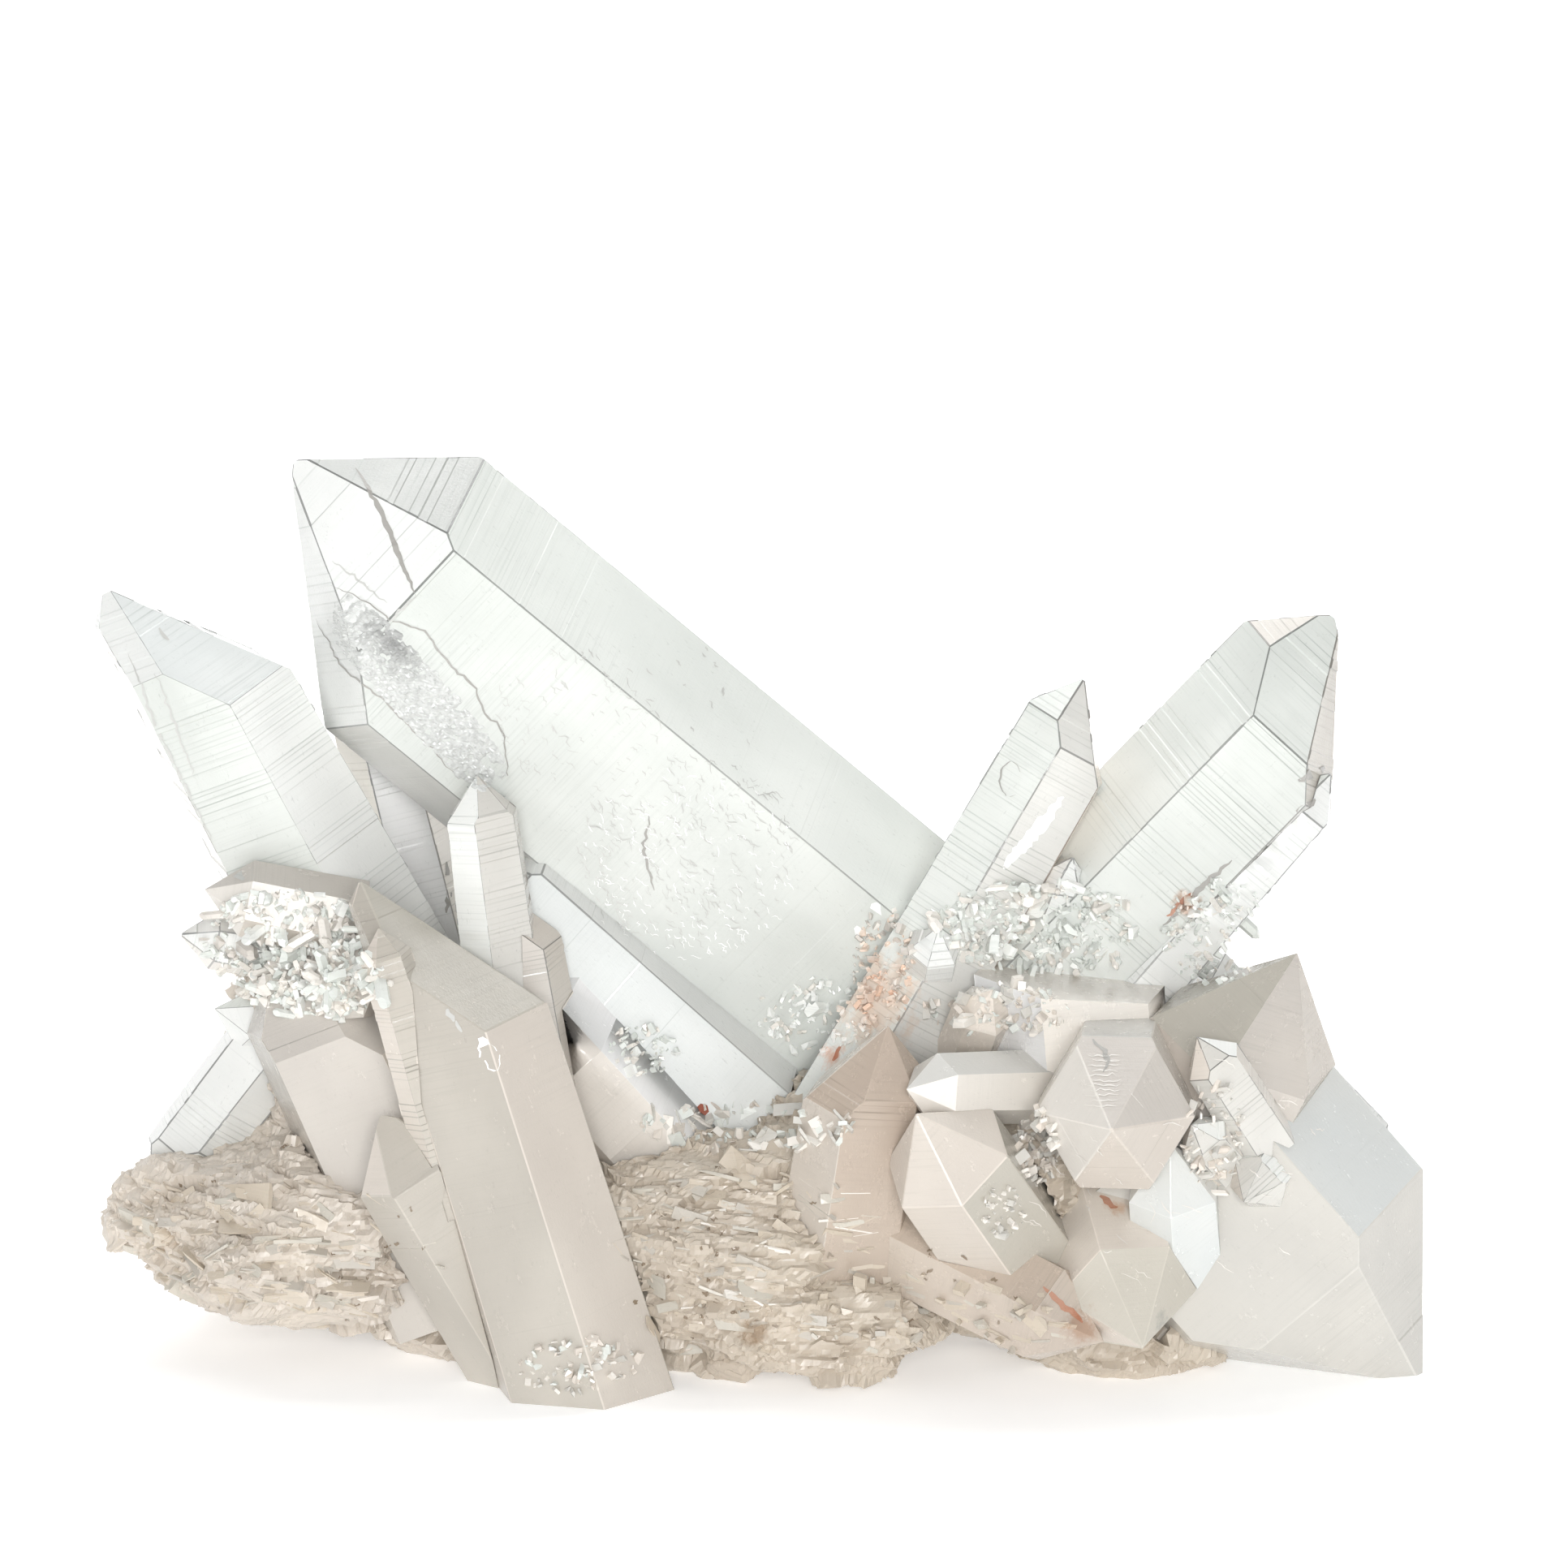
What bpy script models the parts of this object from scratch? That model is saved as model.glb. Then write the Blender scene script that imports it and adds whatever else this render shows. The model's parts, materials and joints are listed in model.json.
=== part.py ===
"""A quartz crystal cluster: pointed six-sided crystals grown out of one broken mass of quartz.

Every crystal is ground out of a blank block, one flat facet at a time: six side facets around
its long axis, six end facets that all lean 38.2 degrees to that axis, as they do on real quartz,
and one facet across its hidden root. The mass that carries them is a union of rough lumps.

Places are in millimetres here and become metres where a mesh is made. X runs to the right of the
cluster, Y away from its front and Z up, and the cluster stands on the XY plane.
"""

import math
from dataclasses import dataclass

import bmesh
import bpy
from mathutils import Matrix, Vector, noise

MM = 0.001
SEAM = 0.3  # the gap that two neighbouring pieces keep
SIDES = 6
END_LEAN = math.radians(38.2)  # between an end facet and the long axis, on every quartz crystal
WELD = 0.000002  # metres; corners closer than this are one corner
FLOOR = 1.8  # the level that the cluster is worn flat at; it rests on this
BLANK = 300.0  # side of the block that a crystal is ground from
FRONT = Vector((0.0, -1.0, 0.0))
UP = Vector((0.0, 0.0, 1.0))
BROKEN_TOP = Vector((0.12, -0.05, 1.0))  # the way that a level break faces
HEAD_ON = 0.85  # a crystal this much in line with the front counts its facets from the top


@dataclass
class Crystal:
    """One crystal. Lengths are in millimetres and angles in degrees."""

    name: str
    root: tuple  # the middle of its hidden end
    tip: tuple  # where its axis ends
    width: float  # across two opposite side facets, at the root
    roll: float = 0.0  # how far its front facet is turned away from the front
    flat: float = 1.0  # its front-to-back size over its width
    taper: float = 1.0  # how far each side facet leans inwards
    apex: tuple = (0.0, 0.0)  # how far its point sits off the axis: sideways, forwards
    cuts: tuple = ()  # (end facet, how much deeper it cuts) for each facet that grew large
    top: float = 0.0  # height at which the crystal broke off level, or 0
    finish: str = "clear_quartz"


# The tall crystals that stand clear of the mass.
TALL = [
    Crystal("crystal_main", (12.2, 10, 27), (-39.7, -4, 73.4), 22.8, roll=-6, flat=0.8, taper=0.3,
            apex=(2.6, 0), cuts=((0, 1.0),)),
    Crystal("crystal_right_tall", (16.2, 3, 24.8), (49, 0, 60.2), 14.6, roll=4, taper=0.3,
            apex=(-3.2, 0.5), cuts=((0, 1.2),)),
    Crystal("crystal_left_tall", (-31.7, 3, 29), (-49.8, -2, 65.8), 13.8, roll=-15, taper=2.0,
            apex=(-3.6, -0.5), cuts=((4, -1.4), (5, -0.8))),
    Crystal("crystal_right_inner", (6.6, -4, 21), (27.1, -2, 56.5), 8.8, roll=20, taper=0.6,
            apex=(-1.4, 0.3)),
    Crystal("crystal_companion", (-1, 0, 20.5), (-25, -4, 43.5), 9.4, roll=12, flat=0.9,
            taper=0.5),
    Crystal("crystal_right_outer", (24.6, -2, 24.8), (45.7, -2.5, 49.8), 6.4, roll=16, taper=0.6,
            apex=(0.5, 0)),
    Crystal("crystal_behind_left", (-26.5, 12, 24), (-34, 13, 56), 7.2, roll=12),
    Crystal("crystal_front_blade", (-19.5, -9, 20), (-22.9, -11.5, 50.8), 6.4, roll=28, flat=0.9,
            taper=1.5),
    Crystal("crystal_front_second", (-15.5, -8, 8), (-21.2, -9.5, 43), 7.0, roll=10, taper=0.6,
            apex=(-2, 0)),
    Crystal("crystal_under_companion", (0, -4, 8), (-22.5, -7, 34.5), 9.4, roll=5, taper=0.5,
            finish="milky_quartz"),
]

# The stout milky crystals along the front of the base.
FRONT_ROW = [
    Crystal("crystal_front_left", (-12.5, -15, -6), (-27.3, -15, 44.2), 12.8, roll=-14, taper=0.8,
            apex=(-5.0, -1.0), finish="milky_quartz"),
    Crystal("crystal_front_slim", (-24.5, -17.5, 17), (-30.2, -19.5, 40), 3.6, roll=10, taper=0.5,
            finish="milky_quartz"),
    Crystal("crystal_left_broad", (-24, -6, 7), (-37.5, -6, 38), 15.5, roll=-12, apex=(-2, 0),
            finish="milky_quartz"),
    Crystal("crystal_low_left", (-33.5, 1, 36), (-50, -2, 15), 6.6, roll=20, apex=(1, 0)),
    Crystal("crystal_front_small", (-20, -13, 3.5), (-30.9, -18.5, 24.6), 7.6, roll=15,
            apex=(0.6, 0), cuts=((0, 1.0),), finish="milky_quartz"),
    Crystal("crystal_amber", (5.8, -11, 7), (9, -16.5, 31.6), 9.8, roll=14, flat=0.9, taper=1.5,
            apex=(0.8, 0), finish="stained_quartz"),
    Crystal("crystal_pale_front", (22.8, -10, 7.6), (12, -23, 26), 9.6, roll=25, taper=0.8,
            finish="milky_quartz"),
    Crystal("crystal_pale_upper", (24, -9, 25), (11.4, -20.5, 27.5), 5.0, roll=10, taper=0.8,
            finish="milky_quartz"),
    Crystal("crystal_centre_front", (29.5, -4, 24.5), (26.9, -27.5, 26), 11.0, flat=1.12,
            taper=0.8, finish="milky_quartz"),
    Crystal("crystal_block", (27, -5, 12), (23, -8, 52), 14.0, roll=14, flat=0.9, taper=0.5,
            top=36.5, finish="stained_quartz"),
    Crystal("crystal_right_smoky", (31.5, -6, 13), (42, -13, 36.8), 14.2, roll=12, taper=0.8,
            apex=(0.5, 0), finish="stained_quartz"),
    Crystal("crystal_low_right", (33, -7, 21.5), (52.6, -12, 0), 23.0, roll=10, flat=0.8,
            taper=0.5, apex=(-1, 0), finish="milky_quartz"),
    Crystal("crystal_behind_right", (34, 3, 29), (51.6, 3, 11), 10.5, taper=0.8, apex=(-1, 0)),
    Crystal("crystal_low_centre", (27, -6, 17), (29.8, -23.5, 7.5), 9.8, taper=0.8,
            finish="milky_quartz"),
    Crystal("crystal_low_upright", (34, -12, 7), (32.2, -19, 22.5), 7.0, roll=20,
            finish="milky_quartz"),
    Crystal("crystal_low_point", (9, -11, 14), (26.8, -20.5, 7), 8.0, roll=20,
            finish="stained_quartz"),
]

# Small crystals in the corners between the large ones.
SMALL = [
    Crystal("crystal_knob_left", (-33, -6, 38), (-45, -8, 41), 5.6, roll=10, taper=1.5,
            finish="milky_quartz"),
    Crystal("crystal_knob_front", (-31, -3, 33), (-35, -15, 34.5), 5.8, roll=8, taper=1.5,
            finish="milky_quartz"),
    Crystal("crystal_knob_outer", (-36, -1, 34), (-47.6, -4, 36.5), 4.6, taper=1.5),
    Crystal("crystal_stub_left", (-38, 0, 27), (-45, -3, 30), 4.6, roll=15, taper=1.5),
    Crystal("crystal_striated_upper", (40.2, -16.6, 21.8), (34.2, -19.8, 31.4), 4.2, roll=15, flat=0.8,
            taper=0.8),
    Crystal("crystal_striated_lower", (38, -15, 19), (33.8, -20.5, 24.5), 3.6, roll=5, flat=0.8,
            taper=0.8),
    Crystal("crystal_striated_right", (41.5, -14, 21), (38, -20.5, 18.5), 4.4, roll=10, flat=0.9,
            taper=0.8),
    Crystal("crystal_stub_right", (16, -5, 25), (18.2, -12, 33.5), 4.6, taper=1.5,
            finish="stained_quartz"),
    Crystal("crystal_stub_gap", (22, 0, 33), (25, -5, 43), 4.4, roll=10, taper=2.0),
    Crystal("crystal_stub_root", (13, -3, 30), (14, -9, 38), 4.2, roll=18, taper=2.0),
]

# Crystals on the far side, all lower than what stands in front of them.
BACK = [
    Crystal("crystal_back_left", (-28, 8, 14), (-40, 25, 29), 10.5, roll=20,
            finish="milky_quartz"),
    Crystal("crystal_back_inner_left", (-12, 10, 18), (-22, 27, 40), 10.5, roll=8, taper=0.8,
            apex=(1.5, 0)),
    Crystal("crystal_back_centre", (3, 10, 14), (0.5, 30, 34), 11.5, roll=25, taper=0.8,
            apex=(-1.5, 1.0)),
    Crystal("crystal_back_inner_right", (17, 9, 18), (21, 27, 37), 9.0, roll=5, taper=0.8),
    Crystal("crystal_back_right", (31, 8, 14), (42, 24, 26), 10.0, roll=18, finish="milky_quartz"),
    Crystal("crystal_back_low_left", (-16, 12, 8), (-25, 29, 12.5), 8.8, roll=15,
            finish="milky_quartz"),
    Crystal("crystal_back_low_right", (14, 12, 7), (17.5, 30, 13), 9.4, roll=22,
            finish="stained_quartz"),
    Crystal("crystal_back_outer_right", (30, 10, 8), (38, 25, 9.5), 7.6, roll=12,
            finish="milky_quartz"),
    Crystal("crystal_back_outer_left", (-36, 6, 12), (-47.5, 19, 17), 7.4, roll=5,
            finish="milky_quartz"),
]

# (middle, radii) of the lumps that make the mass.
LUMPS = [
    ((-37, -2, 12), (16.5, 14.5, 8.6)),
    ((-34, 2, 28), (9, 11, 11.5)),
    ((-22, 3, 13), (15, 17, 12)),
    ((-3, -1, 11), (18, 18, 11)),
    ((8, 1, 14), (13, 13, 11)),
    ((20, 4, 27), (12.5, 12, 13)),
    ((24, 1, 14), (18, 17, 13)),
    ((38, -2, 13), (10, 13, 11)),
]
FEET = [  # (middle, radii) of the lumps that reach the floor
    ((-19, -6, 6), (14, 8, 6)),
    ((4, -10, 7), (12, 9, 6.5)),
    ((30, -7, 6), (12, 9, 6)),
    ((4, 13, 6), (14, 9, 7)),
    ((-28, 6, 7), (10, 9, 7)),
]
LUMP_CUTS = 3  # subdivisions of a lump
BUMP_SIZE = 7.0  # distance between the bumps on a lump
WIDE_BUMP = 2.4  # their height
FINE_BUMP = 0.75  # height of the broken steps between them

FINISHES = {  # colour, roughness, transmission
    "clear_quartz": ((0.93, 0.95, 0.94), 0.05, 0.9),
    "milky_quartz": ((0.87, 0.86, 0.82), 0.25, 0.4),
    "stained_quartz": ((0.86, 0.77, 0.68), 0.25, 0.4),
    "broken_mass": ((0.84, 0.80, 0.75), 0.45, 0.2),
}


def clear_scene():
    for obj in list(bpy.data.objects):
        bpy.data.objects.remove(obj)


def collection(name):
    made = bpy.data.collections.new(name)
    bpy.context.scene.collection.children.link(made)
    return made


def finish(name):
    """The material of this finish, made once."""
    found = bpy.data.materials.get(name)
    if found:
        return found
    colour, roughness, transmission = FINISHES[name]
    made = bpy.data.materials.new(name)
    made.use_nodes = True
    shader = made.node_tree.nodes["Principled BSDF"]
    shader.inputs["Base Color"].default_value = (*colour, 1.0)
    shader.inputs["Roughness"].default_value = roughness
    shader.inputs["Metallic"].default_value = 0.0
    shader.inputs["Transmission Weight"].default_value = transmission
    return made


def keep_inside(bm, point, outward):
    """Grinds one flat facet: what lies beyond the plane goes, and the cut is closed."""
    cut = bmesh.ops.bisect_plane(
        bm,
        geom=bm.verts[:] + bm.edges[:] + bm.faces[:],
        dist=1e-9,
        plane_co=point,
        plane_no=outward,
        clear_outer=True,
    )
    rim = [item for item in cut["geom_cut"] if isinstance(item, bmesh.types.BMEdge)]
    if rim:
        bmesh.ops.contextual_create(bm, geom=rim)


def placement(crystal):
    """Stands the crystal's own Z along its axis, with its own -Y turned towards the front."""
    root, tip = Vector(crystal.root), Vector(crystal.tip)
    along = (tip - root).normalized()
    facing = UP if abs(along.dot(FRONT)) > HEAD_ON else FRONT
    back = -(facing - facing.dot(along) * along).normalized()
    turn = Matrix((back.cross(along), back, along)).transposed().to_4x4()
    return Matrix.Translation(root * MM) @ turn


def facets(crystal, grow):
    """(point, outward direction) of each facet in the crystal's own frame, moved out by grow."""
    length = (Vector(crystal.tip) - Vector(crystal.root)).length
    sideways, forwards = crystal.apex
    point = Vector((sideways, -forwards, length))
    deeper = dict(crystal.cuts)
    taper = math.radians(crystal.taper)
    found = [(Vector(), -UP)]
    for k in range(SIDES):
        turn = math.radians(crystal.roll) + k * math.tau / SIDES
        outward = Vector((math.sin(turn), -math.cos(turn), 0.0))
        half = crystal.width / 2 * (crystal.flat if k % 3 == 0 else 1.0)
        side = math.cos(taper) * outward + math.sin(taper) * UP
        end = math.cos(END_LEAN) * outward + math.sin(END_LEAN) * UP
        found.append((half * outward, side))
        found.append((point - deeper.get(k, 0.0) * UP, end))
    levels = [(Vector((0, 0, FLOOR)), -UP)]
    if crystal.top:
        levels.append((Vector((0, 0, crystal.top)), BROKEN_TOP.normalized()))
    inwards = placement(crystal).inverted()
    for place, outward in levels:
        found.append((inwards @ (place * MM) / MM, inwards.to_3x3() @ outward))
    return [(place + grow * outward, outward) for place, outward in found]


def crystal_mesh(crystal, grow=0.0):
    """The crystal where it stands in the cluster, so that it can be cut by its neighbours."""
    bm = bmesh.new()
    bmesh.ops.create_cube(bm, size=BLANK)
    for place, outward in facets(crystal, grow):
        keep_inside(bm, place, outward)
    bmesh.ops.recalc_face_normals(bm, faces=bm.faces[:])
    bmesh.ops.triangulate(bm, faces=bm.faces[:])
    to_cluster = placement(crystal) @ Matrix.Scale(MM, 4)
    bmesh.ops.transform(bm, matrix=to_cluster, verts=bm.verts[:])
    mesh = bpy.data.meshes.new(crystal.name)
    bm.to_mesh(mesh)
    bm.free()
    return mesh


def add_object(name, mesh, home):
    made = bpy.data.objects.new(name, mesh)
    home.objects.link(made)
    return made


def set_origin(obj, place):
    """Gives the object its own location and rotation, and leaves its shape where it is."""
    obj.data.transform(place.inverted())
    obj.matrix_world = place


def add_cutter(crystal, home):
    """A copy of the crystal that is a seam wider all round, for cutting its neighbours."""
    made = add_object(crystal.name + "_cutter", crystal_mesh(crystal, SEAM), home)
    made.hide_render = True
    made.display_type = "WIRE"
    return made


def bake_modifiers(obj):
    """Turns what the modifiers make into the object's own mesh."""
    bpy.context.view_layer.update()
    graph = bpy.context.evaluated_depsgraph_get()
    mesh = bpy.data.meshes.new_from_object(obj.evaluated_get(graph))
    obj.modifiers.clear()
    obj.data = mesh


def boolean(obj, other, operation):
    step = obj.modifiers.new(operation.lower(), "BOOLEAN")
    step.operation = operation
    step.solver = "EXACT"
    step.object = other


def islands(bm):
    """The groups of faces that hang together."""
    left = set(bm.faces)
    found = []
    while left:
        todo = [left.pop()]
        group = set(todo)
        while todo:
            for edge in todo.pop().edges:
                for face in edge.link_faces:
                    if face in left:
                        left.remove(face)
                        group.add(face)
                        todo.append(face)
        found.append(group)
    return found


def keep_largest(obj):
    """Leaves only the largest piece where a cut has split the mesh."""
    bm = bmesh.new()
    bm.from_mesh(obj.data)
    groups = islands(bm)
    groups.sort(key=lambda group: sum(face.calc_area() for face in group))
    small = [face for group in groups[:-1] for face in group]
    bmesh.ops.delete(bm, geom=small, context="FACES")
    bm.to_mesh(obj.data)
    bm.free()


def box(obj):
    """The lowest and the highest corner of the object's box."""
    corners = [obj.matrix_basis @ vert.co for vert in obj.data.vertices]
    low = Vector(min(corner[i] for corner in corners) for i in range(3))
    high = Vector(max(corner[i] for corner in corners) for i in range(3))
    return low, high


def overlaps(a, b):
    """True if the two objects' boxes meet."""
    low_a, high_a = box(a)
    low_b, high_b = box(b)
    return all(low_a[i] <= high_b[i] and low_b[i] <= high_a[i] for i in range(3))


def weld(obj):
    """Joins the corners that cuts have left on top of each other."""
    bm = bmesh.new()
    bm.from_mesh(obj.data)
    bmesh.ops.remove_doubles(bm, verts=bm.verts[:], dist=WELD)
    bmesh.ops.dissolve_degenerate(bm, edges=bm.edges[:], dist=WELD)
    bmesh.ops.triangulate(bm, faces=bm.faces[:])
    bm.to_mesh(obj.data)
    bm.free()


def carve(obj, cutters):
    for cutter in cutters:
        if overlaps(obj, cutter):
            boolean(obj, cutter, "DIFFERENCE")
            bake_modifiers(obj)
            keep_largest(obj)
    weld(obj)


def add_lump(middle, radii, home):
    """A rough ball, as broken quartz is: bumps of two sizes push its surface in and out."""
    bm = bmesh.new()
    bmesh.ops.create_icosphere(bm, subdivisions=LUMP_CUTS, radius=1.0)
    for vert in bm.verts:
        place = Vector(middle) + Vector(a * b for a, b in zip(vert.co, radii))
        spot = place / BUMP_SIZE
        push = WIDE_BUMP * noise.noise(spot) + FINE_BUMP * (noise.cell(spot * 2.0) - 0.5)
        vert.co = (place + push * vert.normal) * MM
    mesh = bpy.data.meshes.new("lump")
    bm.to_mesh(mesh)
    bm.free()
    return add_object("lump", mesh, home)


def add_mass(home, helpers, cutters):
    """The mass of broken quartz: the lumps as one body, level below, with room for each crystal."""
    shapes = LUMPS + FEET
    mass = add_lump(*shapes[0], home)
    mass.name = "quartz_mass"
    for middle, radii in shapes[1:]:
        lump = add_lump(middle, radii, helpers)
        lump.hide_render = True
        boolean(mass, lump, "UNION")
    bake_modifiers(mass)
    bm = bmesh.new()
    under = Matrix.Translation((0, 0, (FLOOR - BLANK / 2) * MM))
    bmesh.ops.create_cube(bm, size=BLANK * MM, matrix=under)
    mesh = bpy.data.meshes.new("floor_cutter")
    bm.to_mesh(mesh)
    bm.free()
    floor = add_object("floor_cutter", mesh, helpers)
    floor.hide_render = True
    boolean(mass, floor, "DIFFERENCE")
    bake_modifiers(mass)
    carve(mass, cutters)
    mass.data.materials.clear()
    mass.data.materials.append(finish("broken_mass"))
    return mass


def stand_on_origin(objects):
    """Moves the cluster so that the origin is under the middle of its box, on the floor."""
    boxes = [box(obj) for obj in objects]
    low = Vector(min(lowest[i] for lowest, _ in boxes) for i in range(3))
    high = Vector(max(highest[i] for _, highest in boxes) for i in range(3))
    middle = (low + high) / 2
    for obj in objects:
        obj.location -= Vector((middle.x, middle.y, low.z))


def main():
    clear_scene()
    parts = collection("quartz_crystal_cluster")
    helpers = collection("cutters")
    cutters, made = [], []
    crystals = TALL + FRONT_ROW + SMALL + BACK
    for crystal in crystals:
        obj = add_object(crystal.name, crystal_mesh(crystal), parts)
        carve(obj, cutters)
        obj.data.materials.clear()
        obj.data.materials.append(finish(crystal.finish))
        made.append(obj)
        cutters.append(add_cutter(crystal, helpers))
    for obj, crystal in zip(made, crystals):
        set_origin(obj, placement(crystal))
    made.append(add_mass(parts, helpers, cutters))
    for cutter in list(helpers.objects):
        bpy.data.objects.remove(cutter)
    stand_on_origin(made)


main()
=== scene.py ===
# %% [markdown]
# # A quartz crystal cluster
# Long six-sided quartz points lean out of a broken, milky mass of the same mineral. The solid
# model gives every crystal its place, size and facets. This lesson turns each plain solid into
# quartz: growth lines, worn edges, milky roots, cracks, iron stains and a crust of tiny points.

import json
import math

import bmesh
import bpy
import numpy as np
from mathutils import Matrix, Vector, kdtree, noise
from mathutils.bvhtree import BVHTree


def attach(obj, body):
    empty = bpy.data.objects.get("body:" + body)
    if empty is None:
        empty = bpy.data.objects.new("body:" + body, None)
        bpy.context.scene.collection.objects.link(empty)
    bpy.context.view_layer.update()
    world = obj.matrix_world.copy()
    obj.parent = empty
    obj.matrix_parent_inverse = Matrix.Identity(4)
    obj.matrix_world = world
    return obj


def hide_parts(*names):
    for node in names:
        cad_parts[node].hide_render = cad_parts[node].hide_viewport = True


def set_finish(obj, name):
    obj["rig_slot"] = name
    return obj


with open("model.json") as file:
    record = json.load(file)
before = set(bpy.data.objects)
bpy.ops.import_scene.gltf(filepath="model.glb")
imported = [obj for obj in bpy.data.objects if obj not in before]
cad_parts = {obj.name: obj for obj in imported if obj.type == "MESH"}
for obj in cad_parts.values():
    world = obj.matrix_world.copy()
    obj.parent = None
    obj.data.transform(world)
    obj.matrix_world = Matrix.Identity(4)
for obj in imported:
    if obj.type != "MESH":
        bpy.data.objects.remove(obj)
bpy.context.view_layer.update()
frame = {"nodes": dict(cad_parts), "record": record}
MM = 0.001
UP = Vector((0, 0, 1))
slot_of = {part["node"]: part["material_slot"] for part in frame["record"]["subparts"]}
print(len(frame["nodes"]), "solids loaded")

# %% [markdown]
# ## Tools for facets
# A crystal's shape is a set of flat facets, so the tools here work on whole facets. The first
# one joins the solid's triangles back into flat faces. The second one moves every face along its
# own normal and then puts each corner where its faces now meet, so facets stay flat.


# %% Flat faces, and faces that move as one
SAME_PLACE = 0.001 * MM
SAME_FACET = math.radians(0.4)
HOLD_BACK = 0.02


def flat_faces(mesh):
    bm = bmesh.new()
    bm.from_mesh(mesh)
    bmesh.ops.remove_doubles(bm, verts=bm.verts[:], dist=SAME_PLACE)
    bmesh.ops.dissolve_limit(
        bm, angle_limit=SAME_FACET, verts=bm.verts[:], edges=bm.edges[:]
    )
    bm.normal_update()
    return bm


def push_faces(bm, amount, limit):
    """Moves each face out by amount(face); a face whose amount is None only follows.

    HOLD_BACK keeps a corner near its old place where its faces leave it free to slide.
    """
    moves = []
    for vert in bm.verts:
        pull = np.identity(3) * HOLD_BACK
        want = np.zeros(3)
        for face in vert.link_faces:
            step = amount(face)
            if step is not None:
                normal = np.array(face.normal)
                pull += np.outer(normal, normal)
                want += normal * step
        move = Vector(np.linalg.solve(pull, want))
        if move.length > limit:
            move *= limit / move.length
        moves.append(move)
    for vert, move in zip(bm.verts, moves):
        vert.co += move
    bm.normal_update()


# %% [markdown]
# ## Finding a crystal's long axis
# Six side facets of quartz run parallel to its long axis, and its end facets all lean 38.2
# degrees to it. The axis is therefore the one direction that suits most of the surface, and the
# lean of the end facets also tells which way the point is.

# %% The axis that suits most facets
END_LEAN = math.radians(38.2)
END_SINE = math.sin(END_LEAN)
LARGEST_FACETS = 14
SIDE_SLACK, END_SLACK, TIP_SLACK = 0.06, 0.035, 0.04


def long_axis(bm):
    normals = np.array([face.normal for face in bm.faces])
    areas = np.array([face.calc_area() for face in bm.faces])
    large = np.argsort(areas)[::-1][:LARGEST_FACETS]
    best, best_score = None, -1.0
    for i in large:
        for j in large:
            guess = np.cross(normals[i], normals[j])
            size = np.linalg.norm(guess)
            if size < 0.3:
                continue  # the two facets are nearly parallel
            guess /= size
            lean = normals @ guess
            suits = (np.abs(lean) < SIDE_SLACK) | (np.abs(lean - END_SINE) < END_SLACK)
            score = areas[suits].sum()
            if score > best_score:
                best, best_score = guess, score
    lean = normals @ best
    at_tip = areas[np.abs(lean - END_SINE) < TIP_SLACK].sum()
    at_root = areas[np.abs(lean + END_SINE) < TIP_SLACK].sum()
    return Vector(-best if at_root > at_tip else best)


# %% [markdown]
# ## Growth lines
# Quartz grows in thin layers, and their edges show as fine lines straight across the side
# facets. Here the crystal is cut across in pairs of close planes. Between two pairs each facet
# stands a few hundredths of a millimetre higher or lower, so every pair becomes a small step
# that catches the light, as on the real stone.

# %% Steps across every facet
RISER = 0.1 * MM
STEP = 0.035 * MM
STEP_LIMIT = 0.15 * MM
ROOT_GAP, TIP_GAP = 0.4 * MM, 0.3 * MM
SHARE_STEPPED = 0.75


def line_places(length, rng, bundles, gap):
    """Places of the lines from root to tip: bundles of close lines, then a plain stretch."""
    places, at = [], ROOT_GAP
    while at < length - TIP_GAP:
        places.append(at)
        if rng.random() < bundles:
            for _ in range(rng.integers(4, 12)):
                at += rng.uniform(0.3, 0.75) * MM
                places.append(at)
        at += rng.uniform(0.5, 1.6) * gap * MM
    return [place for place in places if place < length - TIP_GAP]


def add_growth_lines(bm, axis, rng, bundles, gap, fading):
    along = [vert.co.dot(axis) for vert in bm.verts]
    root, length = min(along), max(along) - min(along)
    places = line_places(length, rng, bundles, gap)
    for place in places:
        for level in (place, place + RISER):
            bmesh.ops.bisect_plane(
                bm,
                geom=bm.verts[:] + bm.edges[:] + bm.faces[:],
                dist=1e-8,
                plane_co=axis * (root + level),
                plane_no=axis,
            )
    bm.normal_update()
    starts = np.array([0.0] + [place + RISER for place in places])
    facet_layer = bm.faces.layers.int["facet"]
    line_layer = bm.faces.layers.float["line"]
    toward_tip = np.clip((starts / length - fading) / 0.25, 0.12, 1.0)
    heights, faint = {}, rng.uniform(0.2, 1.0, len(starts)) * toward_tip

    def level_of(face):
        if face[facet_layer] < 0 or abs(face.normal.dot(axis)) > 0.9:
            return None
        spread = [vert.co.dot(axis) - root for vert in face.verts]
        strip = int(np.searchsorted(starts, sum(spread) / len(spread))) - 1
        if places and max(spread) - min(spread) < RISER * 1.3:
            face[line_layer] = faint[strip]
            return None
        facet = face[facet_layer]
        if facet not in heights:
            steps = rng.normal(0.0, STEP, len(starts)) * toward_tip
            heights[facet] = steps * (rng.random(len(starts)) < SHARE_STEPPED)
        return heights[facet][strip]

    push_faces(bm, level_of, STEP_LIMIT)
    return root, length
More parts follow.
